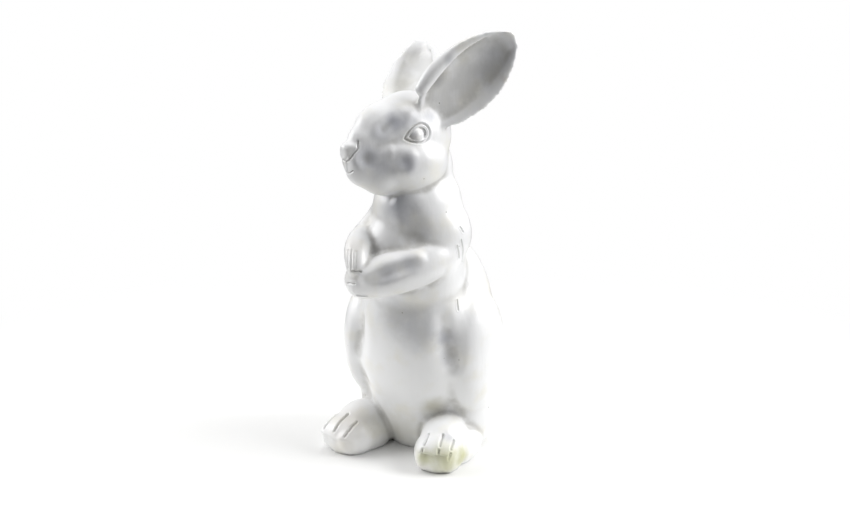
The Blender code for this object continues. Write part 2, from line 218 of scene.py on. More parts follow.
# %% Skull and muzzle
skull = [
    egg((0, -14, 12), (43, 64, 60), HEAD),
    egg((0, -44, 14), (34, 52, 46), HEAD),
    egg((0, -20, -22), (50, 62, 48), HEAD),
    egg((0, -64, 5), (27, 42, 29), HEAD),
    egg((-11, -86, -19), (15, 24, 22), HEAD),
    egg((11, -86, -19), (15, 24, 22), HEAD),
    egg((0, -66, -33), (26, 43, 28), HEAD),
    egg((3, -54, -36), (31, 38, 34), HEAD),
]
head = fused(skull, 30)
print("head", len(head.data.polygons), "faces")

# %% [markdown]
# ## The ears
# An ear is a thick leaf: a flattened sphere whose tip is narrowed and whose front
# is hollowed, with a step inside the rim. Edit mode moves a few loops at a time,
# so the sphere's points are moved by one formula instead, which gives both ears
# the same even cup. Each then turns its mouth its own way.

# %% Ears
EAR_HALF = (48.0, 10.0, 84.0)
EAR_CUP = 21.5
EAR_STEP = 4.0
EAR_RIM = 0.74
EAR_POINT = 0.27
EAR_BASE = (42.0, 8.0, 47.0)
EAR_REACH = {1: 57.0, -1: 62.0}
EAR_WAY = {1: (55.0, 86.0, 96.0), -1: (-81.5, 63.5, 96.0)}
EAR_OPEN = {1: 70.0, -1: -39.5}
EAR_ROLL = (9.0, 11.0, 9.5, 7.5, 5.5, 4.0)
EAR_EDGE = ((-0.65, 0.98), (-0.4, 0.92), (-0.1, 0.87), (0.2, 0.84), (0.5, 0.84), (0.75, 0.84))


def rise(value):
    """Nothing at 0 and below, one at 1 and above, level at both ends."""
    value = min(max(value, 0.0), 1.0)
    return value * value * (3.0 - 2.0 * value)


def ear_point(across, deep, along):
    """Where a point of the unit sphere goes on the leaf, in units."""
    ring = max(math.sqrt(max(1.0 - along * along, 0.0)), 0.05)
    share = min(abs(across) / ring, 1.0)
    taper = 1.0 - EAR_POINT * max(along, 0.0) ** 2
    hollow = EAR_CUP * (1.0 - share**2) * (1.0 - along * along)
    if deep < 0.0:
        hollow += EAR_STEP * rise((EAR_RIM - share) / 0.12) * rise((0.9 - abs(along)) / 0.2)
    return (across * EAR_HALF[0] * taper, deep * EAR_HALF[1] + hollow, along * EAR_HALF[2])


def ear_frame(side):
    """The frame of an ear: +Z from base to tip, -Y out of its mouth."""
    along = Vector(EAR_WAY[side]).normalized()
    ahead = Vector((0.0, -1.0, 0.0))
    ahead = (ahead - along * ahead.dot(along)).normalized()
    out = along.cross(ahead) * side
    angle = math.radians(EAR_OPEN[side])
    mouth = ahead * math.cos(angle) + out * math.sin(angle)
    across = (-mouth).cross(along)
    turn = Matrix((across, -mouth, along)).transposed().to_4x4()
    base = Matrix.Translation(spot((side * EAR_BASE[0], EAR_BASE[1], EAR_BASE[2])))
    return HEAD @ base @ turn @ Matrix.Translation(spot((0, 0, EAR_REACH[side])))


def ear_rim(side):
    """A roll of clay along the front edge of an ear, thick by the head and thin at the tip."""
    line = []
    for along, share in EAR_EDGE:
        line.append(ear_point(-side * share * math.sqrt(1.0 - along * along), 0.0, along))
    return roll(line, EAR_ROLL, ear_frame(side))


def ear(side):
    bpy.ops.object.select_all(action="DESELECT")
    bpy.ops.mesh.primitive_uv_sphere_add(segments=96, ring_count=64, radius=1.0)
    leaf = bpy.context.object
    for vertex in leaf.data.vertices:
        vertex.co = spot(ear_point(*vertex.co))
    leaf.data.transform(ear_frame(side))
    return leaf


ears = [ear(-1), ear(1), *ear_rim(-1), *ear_rim(1)]
print("ears", [tuple(round(size, 3) for size in leaf.dimensions) for leaf in ears[:2]])

# %% [markdown]
# ## Feet, arms, tail and nose
# These are pressed on last and stroked only a little, so the creases around them
# stay. The left forearm crosses the chest in front, and the right paw hangs over
# it. The nose is a small pad on the end of the muzzle.

# %% The last masses, and one body
last = []
for side in (-1, 1):
    foot = foot_frame(side)
    wide = 38 - 2 * side
    last.append(egg((0, -46, 21), (wide, 40, 33), foot))
    last += [egg((across, -54, 21), (wide - 20, 32, 25), foot) for across in (-16, 16)]
    last.append(egg((0, -20, 24), (wide - 1, 50, 42), foot))
    last.append(egg((0, 26, 22), (34, 62, 34), foot))
last.append(egg((13, 4, 18), (34, 62, 30), foot_frame(1)))
last += roll(
    [(40, -18, 312), (40, -44, 300), (18, -74, 289), (-16, -96, 279), (-41, -100, 272)],
    [28, 30, 31, 30, 27],
)
last += roll(
    [(-62, -58, 318), (-58, -88, 316), (-50, -106, 308), (-43, -114, 292)],
    [22, 21, 18, 15],
)
last.append(egg((0, 82, 46), (24, 27, 28), HIPS))
last.append(egg((0, -102, -5), (15, 14, 11), HEAD))
last.append(egg((0, -104, -14), (11, 11, 10), HEAD))
rabbit = fused([body, head, *last, *ears], 5)
rabbit.name = "Rabbit"
rabbit.data.name = "Rabbit"
print("rabbit", len(rabbit.data.polygons), "faces")

# %% [markdown]
# ## Tools for the surface
# The casting's fine work is pressed and drawn, so these helpers act as a thumb and
# a wire tool do: each moves the points near a place or a line along their normals.
# A brush stroke in sculpt mode would do the same, but it needs a window. A tool
# line also marks its points in an attribute, where the paint darkens them: partly
# dirt and partly painted shade.


# %% Thumb and wire tool
def ease(share):
    """One at 0, nothing from 1 on, level at both ends."""
    share = np.clip(share, 0.0, 1.0)
    return 1.0 - share * share * (3.0 - 2.0 * share)


def read_points(piece):
    count = len(piece.data.vertices)
    points, normals = np.empty(count * 3), np.empty(count * 3)
    piece.data.vertices.foreach_get("co", points)
    piece.data.vertices.foreach_get("normal", normals)
    return points.reshape(-1, 3), normals.reshape(-1, 3)


def write_points(piece, points):
    piece.data.vertices.foreach_set("co", points.ravel())
    piece.data.update()


def skin_of(piece):
    """The surface as a tree that finds the nearest place and what a ray hits."""
    places = [vertex.co for vertex in piece.data.vertices]
    return BVHTree.FromPolygons(places, [face.vertices for face in piece.data.polygons])


def thumb(piece, skin, place, radius, depth, body=BODY, stretch=(1.0, 1.0, 1.0)):
    """Presses a soft dent of this radius, or pulls a swelling for a negative depth."""
    points, normals = read_points(piece)
    centre = np.array(skin.find_nearest(body @ spot(place))[0])
    offset = ((points - centre) @ np.array(body.to_3x3())) / np.array(stretch)
    push = depth * UNIT * ease(np.linalg.norm(offset, axis=1) / (radius * UNIT))
    write_points(piece, points - normals * push[:, None])


def laid(skin, path, body=BODY, steps=8):
    """A path of points laid on the surface."""
    found = []
    for start, end in zip(path[:-1], path[1:]):
        for step in range(steps):
            found.append(skin.find_nearest(body @ spot(start).lerp(spot(end), step / steps))[0])
    found.append(skin.find_nearest(body @ spot(path[-1]))[0])
    return np.array(found)


def away_from(points, path, reach):
    """How far each point is from the path, or twice the reach where it is well past it."""
    nearest = np.full(len(points), 2.0 * reach)
    low, high = path.min(axis=0) - reach, path.max(axis=0) + reach
    close = np.flatnonzero(((points > low) & (points < high)).all(axis=1))
    near = points[close]
    best = nearest[close]
    for start, end in zip(path[:-1], path[1:]):
        along = end - start
        share = np.clip((near - start) @ along / max(along @ along, 1e-12), 0.0, 1.0)
        best = np.minimum(best, np.linalg.norm(near - start - share[:, None] * along, axis=1))
    nearest[close] = best
    return nearest


def flat(piece, skin, path, facing, radius, body=BODY, sink=0.0):
    """Pats the surface along a path toward one soft facet that faces this way."""
    points, normals = read_points(piece)
    out = np.array((body.to_3x3() @ Vector(facing)).normalized())
    line = laid(skin, path, body, 4)
    level = (line @ out).mean() - sink * UNIT
    above = points @ out - level
    aside = away_from(points - np.outer(points @ out, out), line - np.outer(line @ out, out), radius * UNIT)
    hold = ease((aside / (radius * UNIT) - 0.1) / 0.9) * ease((np.abs(above) / UNIT - 8.0) / 6.0)
    hold *= 1.0 - ease((normals @ out - 0.1) / 0.4)
    write_points(piece, points - np.outer(above * hold, out))


def wire(piece, path, width, depth, lip=0.0, dirt_and_shade=0.0):
    """Draws a tool along the path: a positive depth cuts, a negative one raises a ridge."""
    points, normals = read_points(piece)
    apart = away_from(points, path, 3.0 * width * UNIT) / (width * UNIT)
    push = depth * ease(apart) - lip * ease(np.abs(apart - 1.3) / 0.8)
    write_points(piece, points - normals * (push * UNIT)[:, None])
    # The line is darkened in the paint: partly dirt and partly painted shade.
    if dirt_and_shade:
        marks = piece.data.attributes["tool_line_dirt_and_shade"]
        values = np.empty(len(points))
        marks.data.foreach_get("value", values)
        marks.data.foreach_set("value", np.maximum(values, dirt_and_shade * ease(apart / 0.8)))


def refine(piece, paths, reach):
    """Halves the edges near these paths, so that fine lines can be cut there."""
    shape = bmesh.new()
    shape.from_mesh(piece.data)
    shape.verts.ensure_lookup_table()
    points = np.array([vertex.co for vertex in shape.verts])
    near = np.zeros(len(points), bool)
    for path in paths:
        near |= away_from(points, path, 2.0 * reach * UNIT) < reach * UNIT
    edges = [edge for edge in shape.edges if near[edge.verts[0].index] and near[edge.verts[1].index]]
    bmesh.ops.subdivide_edges(shape, edges=edges, cuts=1, use_grid_fill=True)
    bmesh.ops.triangulate(shape, faces=[face for face in shape.faces if len(face.verts) > 4])
    shape.to_mesh(piece.data)
    shape.free()


print("tools ready for", rabbit.name)

# %% [markdown]
# ## The camera's line of sight
# Stains, painted shades and scratches are placed by pixels of the photograph. A
# pixel is turned into a ray from the camera, and the mark lies where that ray meets
# the rabbit. The camera's place and lens were fitted to the figure's outline. Pits
# and brush marks are patterns, and have no place in the photograph.

# %% Camera
FRAME_SIZE = (850, 521)
CAMERA_AZIMUTH = 28.0
CAMERA_ELEVATION = 15.5
CAMERA_AWAY = 1860.0
CAMERA_AIM = (0.0, 0.0, 280.0)
LENS_PIXELS = 1314.0

turn_out = math.radians(CAMERA_AZIMUTH)
tilt_up = math.radians(CAMERA_ELEVATION)
toward_camera = Vector(
    (math.sin(turn_out) * math.cos(tilt_up), -math.cos(turn_out) * math.cos(tilt_up), math.sin(tilt_up))
)
camera_data = bpy.data.cameras.new("Camera")
camera_data.lens = camera_data.sensor_width * LENS_PIXELS / FRAME_SIZE[0]
camera_data.clip_end = 100.0
camera = bpy.data.objects.new("Camera", camera_data)
bpy.context.scene.collection.objects.link(camera)
camera.location = spot(CAMERA_AIM) + toward_camera * CAMERA_AWAY * UNIT
camera.rotation_euler = toward_camera.to_track_quat("Z", "Y").to_euler()
bpy.context.scene.camera = camera
bpy.context.view_layer.update()


def seen_at(skin, pixel):
    """The place on the surface that the camera sees at this pixel."""
    right = (pixel[0] - FRAME_SIZE[0] / 2) / LENS_PIXELS
    up = (FRAME_SIZE[1] / 2 - pixel[1]) / LENS_PIXELS
    ray = camera.matrix_world.to_3x3() @ Vector((right, up, -1.0))
    hit = skin.ray_cast(camera.location, ray.normalized())[0]
    return hit if hit else skin.find_nearest(camera.location + ray * CAMERA_AWAY * UNIT)[0]


print("camera at", [round(value, 3) for value in camera.location], "lens", round(camera_data.lens, 2))

# %% [markdown]
# ## Planes of the face and soft hollows
# The clay was pressed with a thumb: over and before the eyes, along the flat side
# of the muzzle and on the cheek, with a ridge left between the last two. A long
# hollow parts the belly from each thigh.

# %% Thumb marks
THIGH_CREASE = ((66, -47, 214), (69, -44, 194), (73, -42, 170), (78, -38, 146))

skin = skin_of(rabbit)
for side in (-1, 1):
    thumb(rabbit, skin, (side * 72 - 10, -49, 176), 34, 5.0, stretch=(1.0, 1.0, 1.5))
    thumb(rabbit, skin, (side * 42, -24, 13), 26, -2.0, HEAD)
    thumb(rabbit, skin, (side * 36, -34, 41), 14, -1.6, HEAD)
    cheek = [(side * 25, -87, -18), (side * 34, -64, -19), (side * 44, -46, -22)]
    flat(rabbit, skin, cheek, (side * 0.87, -0.5, 0.0), 24, HEAD, 0.5)
    flat(rabbit, skin, [(side * 29, -64, 19), (side * 34, -44, 32)], (side * 0.87, -0.5, 0.3), 17, HEAD, 1.2)
    flat(rabbit, skin, [(side * 38, -6, 36)], (side * 0.87, -0.4, 0.3), 15, HEAD, 1.5)
    thumb(rabbit, skin, (side * 44, -43, -23), 13, 1.6, HEAD)
    thumb(rabbit, skin, (side * 36, -60, -9), 10, -1.4, HEAD, (0.7, 0.7, 1.6))
    thumb(rabbit, skin, (side * 50, -8, -20), 24, -1.5, HEAD)
    nostril = [(side * 13, -105, -5), (side * 9, -108, -12)]
    flat(rabbit, skin, nostril, (side * 0.87, -0.5, 0.0), 8, HEAD, -0.4)
flat(rabbit, skin, [(0, -115, -6), (0, -114, -12)], (0.0, -1.0, -0.15), 9, HEAD, 0.6)
flat(rabbit, skin, [(18, -71, 345), (12, -73, 378)], (0.47, -0.88, -0.05), 30, sink=0.3)
forearm = [(-20, -122, 283), (-2, -116, 290), (16, -103, 298), (34, -88, 306)]
flat(rabbit, skin, forearm, (0.5, -0.86, 0.1), 17, sink=1.5)
thumb(rabbit, skin, (12, -66, 212), 40, 2.5)
for side in (-1, 1):
    crease = [(side * out - 13, ahead, up) for out, ahead, up in THIGH_CREASE]
    wire(rabbit, laid(skin, crease), 20, 3.0)
    wire(rabbit, laid(skin, crease[1:3]), 13, 2.0)
print("thumb marks pressed")

# %% [markdown]
# ## Lines for eyes, nose, mouth, toes and fingers
# First all the lines are laid on the surface. Then the mesh is made finer only
# along them, twice, because an even mesh fine enough for a 3 mm line would be far
# over the piece's limit.

# %% Where the lines go
EYE_AT = (42.0, -24.0, 13.0)
EYE_HALF = (18.5, 14.5)
EYE_TILT = math.radians(16.0)
EYE_RINGS = (1.03, 0.86, 0.70)
BALL_AT = (-1.8, -1.2)
BALL_RADIUS = 13.0
BALL_SEEN = 11.0
SOCKET_DEPTH = 2.6
TOE_PLACES = {1: (-17.0, 10.0, 37.0), -1: (-22.0, 4.0, 30.0)}
TOE_LEDGE = {1: 33.0, -1: 27.0}
RIM_ALONG = (-0.6, -0.3, 0.0, 0.3, 0.6)
RIM_ACROSS = 0.63
SCARS = {
    "behind the forearm": [(457, 246), (459, 258)],
    "beside the first": [(461, 240), (462, 262)],
    "on the flank": [(457, 300), (458, 310)],
    "above the forearm": [(460, 227), (463, 232)],
}


def eye_line(side, size):
    """The almond of an eye: pointed at the inner corner, round at the outer one."""
    line = []
    for step in range(41):
        angle = math.tau * step / 40
        along = -EYE_HALF[0] * size * math.cos(angle)
        up = EYE_HALF[1] * size * math.sin(angle) * abs(math.sin(angle / 2.0)) ** 0.7
        forward = along * math.cos(EYE_TILT) - up * math.sin(EYE_TILT)
        high = along * math.sin(EYE_TILT) + up * math.cos(EYE_TILT)
        line.append((side * EYE_AT[0], EYE_AT[1] + forward, EYE_AT[2] + high))
    return line


def toe_lines(side, place):
    """A toe's line on top of the foot, and on the left foot also a short one on the toe's end."""
    if side < 0:
        return [[(place, -58, 60), (place, -70, 55), (place, -79, 48), (place, -88, 40)]]
    top = [(place, -60, 60), (place, -70, 55), (place, -79, 48)]
    end = [(place, -86, 42), (place, -93, 34), (place, -95, 28)]
    return [top, end]


skin = skin_of(rabbit)
lids = {
    (side, size): laid(skin, eye_line(side, size), HEAD, 1) for side in (-1, 1) for size in EYE_RINGS
}
cleft = laid(skin, [(0, -114, -19), (0, -112, -26), (0, -108, -37)], HEAD)
mouth = laid(skin, [(-10, -104, -34), (-5, -107, -37), (0, -108, -38), (5, -107, -37), (10, -104, -34)], HEAD)
toes = [
    laid(skin, line, foot_frame(side), 4)
    for side in (-1, 1)
    for x in TOE_PLACES[side]
    for line in toe_lines(side, x)
]
fingers = [
    laid(skin, [(-43, -130, 291), (-31, -126, 291)]),
    laid(skin, [(-51, -122, 272), (-40, -130, 273)]),
    laid(skin, [(-40, -122, 254), (-27, -118, 254)]),
]
streaks = [
    laid(skin, [(x - 4, -118, 318), (x, -126, 306), (x + 2, -130, 294)]) for x in (-54.0, -46.0, -38.0)
]
nose_edge = [
    laid(skin, [(side * 17, -96, 0), (side * 12, -103, -16), (side * 3, -108, -21)], HEAD, 4)
    for side in (-1, 1)
]
scars = [
    laid(skin, [tuple(seen_at(skin, pixel) / UNIT) for pixel in path], BODY, 4) for path in SCARS.values()
]
rims = []
for side in (-1, 1):
    inside = [
        ear_point(-side * RIM_ACROSS * math.sqrt(1.0 - along * along), -1.0, along) for along in RIM_ALONG
    ]
    rims.append(laid(skin, inside, ear_frame(side), 6))
lines = [*lids.values(), *scars, *nose_edge, cleft, mouth, *toes, *fingers, *streaks]
refine(rabbit, lines, 7.0)
refine(rabbit, lines, 4.5)
print(len(lines), "lines laid,", len(rabbit.data.polygons), "faces")

# %% Drawing the lines
# Where the tool lines are darkened in the paint: partly dirt and partly painted shade.
rabbit.data.attributes.new("tool_line_dirt_and_shade", "FLOAT", "POINT")


def set_eye(side):
    """Sinks a socket inside the lids and sets a round ball in it."""
    points, normals = read_points(rabbit)
    centre = np.array(HEAD @ spot((side * EYE_AT[0], EYE_AT[1], EYE_AT[2])))
    local = (points - centre) @ np.array(HEAD.to_3x3()) / UNIT
    along = local[:, 1] * math.cos(EYE_TILT) + local[:, 2] * math.sin(EYE_TILT)
    up = local[:, 2] * math.cos(EYE_TILT) - local[:, 1] * math.sin(EYE_TILT)
    share = np.clip(along / (EYE_HALF[0] * EYE_RINGS[2]), -1.0, 1.0)
    room = EYE_HALF[1] * EYE_RINGS[2] * np.sqrt(1.0 - share**2) * ((1.0 + share) / 2.0) ** 0.35
    close = (np.abs(local[:, 0]) < 16) & (room > 0.1)
    inside = np.where(close, ease((np.abs(up) / np.maximum(room, 0.1) - 0.75) / 0.35), 0.0)
    apart = np.hypot(along - BALL_AT[0], up - BALL_AT[1])
    ball = np.sqrt(np.maximum(BALL_RADIUS**2 - apart**2, 0.0)) - math.sqrt(BALL_RADIUS**2 - BALL_SEEN**2)
    push = np.where(apart < BALL_SEEN, np.maximum(ball, 0.0), 0.0) - SOCKET_DEPTH
    out = HEAD.to_3x3() @ Vector((side * 0.95, -0.25, 0.15)).normalized()
    write_points(rabbit, points + np.outer(push * inside * UNIT, out))


for side in (-1, 1):
    outer, rim, inner = (lids[side, size] for size in EYE_RINGS)
    wire(rabbit, outer, 2.6, 2.4, 0.2, 1.0)
    wire(rabbit, rim, 2.0, -0.8)
    set_eye(side)
nose_line = [(14, -97, 4), (15, -99, -6), (11, -104, -15), (3, -109, -21)]
for side in (-1, 1):
    pad = [(side * across, ahead, up) for across, ahead, up in nose_line]
    wire(rabbit, laid(skin, pad, HEAD, 4), 2.4, 2.2, 0.0, 0.8)
wire(rabbit, cleft, 2.0, 2.0, 0.2, 0.6)
wire(rabbit, mouth, 2.0, 2.0, 0.2, 0.6)


def press_ledge(side):
    """Sets the front of the toes back under a ledge, as a flat tool does."""
    frame_of_foot = foot_frame(side)
    points, normals = read_points(rabbit)
    turn = np.array(frame_of_foot.to_3x3())
    local = (points - np.array(frame_of_foot.translation)) @ turn / UNIT
    facing = np.clip((-(normals @ turn)[:, 1] - 0.2) / 0.4, 0.0, 1.0)
    inside = (np.abs(local[:, 0]) < 45) & (local[:, 1] < -40) & (local[:, 2] < 60)
    under = 1.0 - ease((TOE_LEDGE[side] - local[:, 2]) / 3.0)
    back = np.where(inside, 3.0 * UNIT * under * facing, 0.0)
    write_points(rabbit, points + np.outer(back, turn[:, 1]))


for side in (-1, 1):
    press_ledge(side)
for line in toes:
    wire(rabbit, line, 3.0, 2.8, 0.3, 0.8)
for line in fingers:
    wire(rabbit, line, 2.4, 2.0, 0.2, 0.8)
for line in streaks:
    wire(rabbit, line, 2.4, 1.0, 0.0, 0.1)
for line in rims:
    wire(rabbit, line, 5.0, 2.5, 0.0, 0.7)
for line in scars:
    wire(rabbit, line, 1.8, 1.2, 0.3, 0.7)
print("lines drawn")

# %% [markdown]
# ## The flat underside
# The figure stands on a flat cut. Bisect in edit mode removes all that is under
# the floor's plane and fills the hole.

# %% Cut flat
pick(rabbit)
bpy.ops.object.mode_set(mode="EDIT")
bpy.ops.mesh.select_all(action="SELECT")
bpy.ops.mesh.bisect(plane_co=(0, 0, 0), plane_no=(0, 0, 1), use_fill=True, clear_inner=True)
bpy.ops.mesh.select_all(action="SELECT")
bpy.ops.mesh.normals_make_consistent(inside=False)
bpy.ops.object.mode_set(mode="OBJECT")
bpy.ops.object.shade_smooth()
rabbit.data.calc_loop_triangles()
print("rabbit", len(rabbit.data.loop_triangles), "triangles")

# %% [markdown]
# ## Grime and painted shade in the hollows
# The paint darkens the hollows of the casting, partly as grime and partly as
# painted shade. How deep a point lies below the smoothed surface is measured once
# and kept as an attribute for the paint.

# %% Hollows
HOLLOW_PASSES = 60
HOLLOW_FULL = 1.6


def measure_hollows(piece):
    """Marks each point with how far it lies under the surface smoothed around it."""
    points, normals = read_points(piece)
    ends = np.empty(len(piece.data.edges) * 2, int)
    piece.data.edges.foreach_get("vertices", ends)
    start, end = ends[::2], ends[1::2]
    neighbours = np.bincount(ends, minlength=len(points))[:, None]
    soft = points.copy()
    for _ in range(HOLLOW_PASSES):
        total = np.empty_like(soft)
        for axis in range(3):
            total[:, axis] = np.bincount(start, soft[end, axis], len(points))
            total[:, axis] += np.bincount(end, soft[start, axis], len(points))
        soft = 0.5 * soft + 0.5 * total / neighbours
    depth = ((soft - points) * normals).sum(axis=1) / (HOLLOW_FULL * UNIT)
    layer = piece.data.attributes.new("hollow", "FLOAT", "POINT")
    layer.data.foreach_set("value", np.clip(depth, 0.0, 1.0))
    return float((depth > 0.5).mean())


print("share of points in hollows", round(measure_hollows(rabbit), 3))

# %% [markdown]
# ## White gloss paint
# Brushed gloss paint isn't one flat white. It is a little creamier in places, has
# long soft brush marks and a few pits, and its hollows and tool lines are darker,
# partly grime and partly painted shade. The stains are tinted in the photograph:
# yellow-green on the toes of the near foot, olive between the feet, warm dust on
# the far foot. Where the belly meets the near foot the olive is partly painted
# shade. The grey patches aren't known to be dirt. The photograph is a neutral grey
# there, as it is in shade, and they are painted shade that brings the tones nearer
# to it. For plain paint, leave out the shade rows.

# %% Node helpers
def group_with(name, inputs, outputs):
    """A node group with these sockets, and its input and output nodes."""
    group = bpy.data.node_groups.new(name, "ShaderNodeTree")
    for label, kind in inputs:
        group.interface.new_socket(label, in_out="INPUT", socket_type=kind)
    for label, kind in outputs:
        group.interface.new_socket(label, in_out="OUTPUT", socket_type=kind)
    return group, group.nodes.new("NodeGroupInput"), group.nodes.new("NodeGroupOutput")


def add_math(tree, operation, first, second, clamp=False):
    node = tree.nodes.new("ShaderNodeMath")
    node.operation = operation
    node.use_clamp = clamp
    for socket, value in zip(node.inputs, (first, second)):
        if isinstance(value, float):
            socket.default_value = value
        else:
            tree.links.new(value, socket)
    return node.outputs[0]


def add_noise(tree, vector, scale, detail=3.0, stretch=None):
    if stretch:
        mapping = tree.nodes.new("ShaderNodeMapping")
        mapping.inputs["Scale"].default_value = stretch
        tree.links.new(vector, mapping.inputs["Vector"])
        vector = mapping.outputs["Vector"]
    noise = tree.nodes.new("ShaderNodeTexNoise")
    noise.inputs["Scale"].default_value = scale
    noise.inputs["Detail"].default_value = detail
    tree.links.new(vector, noise.inputs["Vector"])
    return noise.outputs["Fac"]


def add_range(tree, value, low, high, bottom=0.0, top=1.0):
    node = tree.nodes.new("ShaderNodeMapRange")
    node.interpolation_type = "SMOOTHSTEP"
    for label, number in (("From Min", low), ("From Max", high), ("To Min", bottom), ("To Max", top)):
        node.inputs[label].default_value = number
    tree.links.new(value, node.inputs["Value"])
    return node.outputs["Result"]


def add_mix(tree, mask, under, over):
    node = tree.nodes.new("ShaderNodeMix")
    node.data_type = "RGBA"
    tree.links.new(mask, node.inputs[0])
    for socket, value in ((node.inputs[6], under), (node.inputs[7], over)):
        if isinstance(value, tuple):
            socket.default_value = value
        else:
            tree.links.new(value, socket)
    return node.outputs[2]


print("node helpers ready")

# %% A patch for the stains and the painted shade, the brush marks and the pits
# These shape every patch, stains and painted shade alike.
STAIN_AND_SHADE_RAGGED = 0.6
STAIN_AND_SHADE_FULL = 0.05
STAIN_AND_SHADE_END = 1.25
PIT_CELLS = 55.0
PIT_FEW = (0.80, 0.82)
PIT_EDGE = (0.075, 0.03)

stain_and_shade_group, given, made = group_with(
    "Stain",
    [
        ("Vector", "NodeSocketVector"),
        ("Place", "NodeSocketVector"),
        ("Radius", "NodeSocketFloat"),
        ("Strength", "NodeSocketFloat"),
    ],
    [("Mask", "NodeSocketFloat")],
)
gap = stain_and_shade_group.nodes.new("ShaderNodeVectorMath")
gap.operation = "DISTANCE"
stain_and_shade_group.links.new(given.outputs["Vector"], gap.inputs[0])
stain_and_shade_group.links.new(given.outputs["Place"], gap.inputs[1])
share = add_math(stain_and_shade_group, "DIVIDE", gap.outputs["Value"], given.outputs["Radius"])
ragged = add_noise(stain_and_shade_group, given.outputs["Vector"], 70.0, 4.0)
uneven = add_math(stain_and_shade_group, "SUBTRACT", ragged, 0.5)
edge = add_math(stain_and_shade_group, "ADD", share, add_math(stain_and_shade_group, "MULTIPLY", uneven, STAIN_AND_SHADE_RAGGED))
fading = add_range(stain_and_shade_group, edge, STAIN_AND_SHADE_END, STAIN_AND_SHADE_FULL)
mask = add_math(stain_and_shade_group, "MULTIPLY", fading, given.outputs["Strength"])
stain_and_shade_group.links.new(mask, made.inputs["Mask"])

brush_group, given, made = group_with(
    "Brush marks",
    [("Vector", "NodeSocketVector")],
    [("Height", "NodeSocketFloat"), ("Thin", "NodeSocketFloat")],
)
long_marks = add_noise(brush_group, given.outputs["Vector"], 30.0, 4.0, (4.0, 4.0, 0.7))
lumps = add_noise(brush_group, given.outputs["Vector"], 28.0, 3.0)
height_sum = add_math(brush_group, "ADD", add_math(brush_group, "MULTIPLY", long_marks, 0.45), lumps)
brush_group.links.new(height_sum, made.inputs["Height"])
brush_group.links.new(add_range(brush_group, lumps, 0.45, 0.75), made.inputs["Thin"])

pit_group, given, made = group_with("Pits", [("Vector", "NodeSocketVector")], [("Mask", "NodeSocketFloat")])
cells = pit_group.nodes.new("ShaderNodeTexVoronoi")
cells.inputs["Scale"].default_value = PIT_CELLS
pit_group.links.new(given.outputs["Vector"], cells.inputs["Vector"])
chance = pit_group.nodes.new("ShaderNodeSeparateColor")
pit_group.links.new(cells.outputs["Color"], chance.inputs["Color"])
few = add_range(pit_group, chance.outputs["Red"], *PIT_FEW)
dot = add_range(pit_group, cells.outputs["Distance"], *PIT_EDGE)
pit_group.links.new(add_math(pit_group, "MULTIPLY", dot, few), made.inputs["Mask"])
print("groups", [group.name for group in bpy.data.node_groups])

# %% Paint
PAINT_WHITE = (0.85, 0.853, 0.86, 1.0)
PAINT_CREAM = (0.82, 0.81, 0.77, 1.0)
# The darker colour of the pits, and of the hollows and tool lines, where it is partly grime and partly
# painted shade.
GRIME_AND_SHADE = (0.40, 0.39, 0.36, 1.0)
SHADE_GREY = (0.40, 0.41, 0.45)
WARM_DUST = (0.66, 0.61, 0.53)
OLIVE = (0.42, 0.40, 0.29)
YELLOW_GREEN = (0.47, 0.47, 0.24)
PATCHES = {
    "stain on the near toes": ((447, 461), 34, 0.75, YELLOW_GREEN),
    "stain on the near foot's outer toe": ((424, 458), 16, 0.70, YELLOW_GREEN),
    "shade on the near instep": ((448, 437), 12, 0.50, SHADE_GREY),
    "dust on the far foot": ((350, 420), 42, 0.35, WARM_DUST),
    "dust under the far toes": ((345, 448), 26, 0.30, WARM_DUST),
    # Partly an olive stain and partly painted shade, where the belly overhangs the foot.
    "olive stain and painted shade where belly meets foot": ((434, 407), 22, 0.60, OLIVE),
    "stain between the feet": ((400, 430), 46, 0.35, OLIVE),
    "shade under the jaw": ((398, 205), 30, 0.80, SHADE_GREY),
    "dust on the upper paw": ((351, 246), 20, 0.30, WARM_DUST),
    "stain at the far ear's root": ((402, 84), 24, 0.40, OLIVE),
    "dust on the near ear's low edge": ((489, 107), 8, 0.40, WARM_DUST),
    "dust on the near ear's edge": ((506, 80), 7, 0.40, WARM_DUST),
    "shade in the near ear's tip": ((498, 52), 30, 0.60, SHADE_GREY),
    "shade in the near ear": ((488, 72), 26, 0.40, SHADE_GREY),
    "shade at the near ear's root": ((437, 80), 13, 0.75, SHADE_GREY),
    "shade in the near ear's front edge": ((449, 60), 9, 0.50, SHADE_GREY),
    "shade beside the nose": ((368, 158), 23, 0.80, SHADE_GREY),
    "shade on the muzzle": ((386, 166), 20, 0.50, SHADE_GREY),
    "shade on the cheek": ((407, 164), 20, 0.85, SHADE_GREY),
    "shade over the brow": ((395, 123), 18, 0.95, SHADE_GREY),
    "shade before the brow": ((381, 133), 17, 0.55, SHADE_GREY),
    "shade behind the eye": ((430, 116), 15, 0.80, SHADE_GREY),
    "shade over the eye": ((412, 117), 18, 0.55, SHADE_GREY),
    "stain on the near foot's inner toe": ((463, 456), 20, 0.95, YELLOW_GREEN),
    "shade in the eye's corner": ((414, 134), 10, 0.45, SHADE_GREY),
    "shade on the chest": ((415, 226), 30, 0.35, SHADE_GREY),
    "shade at the thigh's top": ((446, 338), 20, 0.90, SHADE_GREY),
    "shade on the thigh": ((449, 357), 16, 0.55, SHADE_GREY),
    "shade on the upper belly": ((396, 314), 36, 0.42, SHADE_GREY),
    "shade on the belly's side": ((420, 334), 34, 0.42, SHADE_GREY),
    "shade under the forearm": ((388, 273), 20, 0.50, SHADE_GREY),
    "shade on the forearm": ((410, 264), 18, 0.45, SHADE_GREY),
}
paint = bpy.data.materials.new("White gloss paint")
paint.use_nodes = True
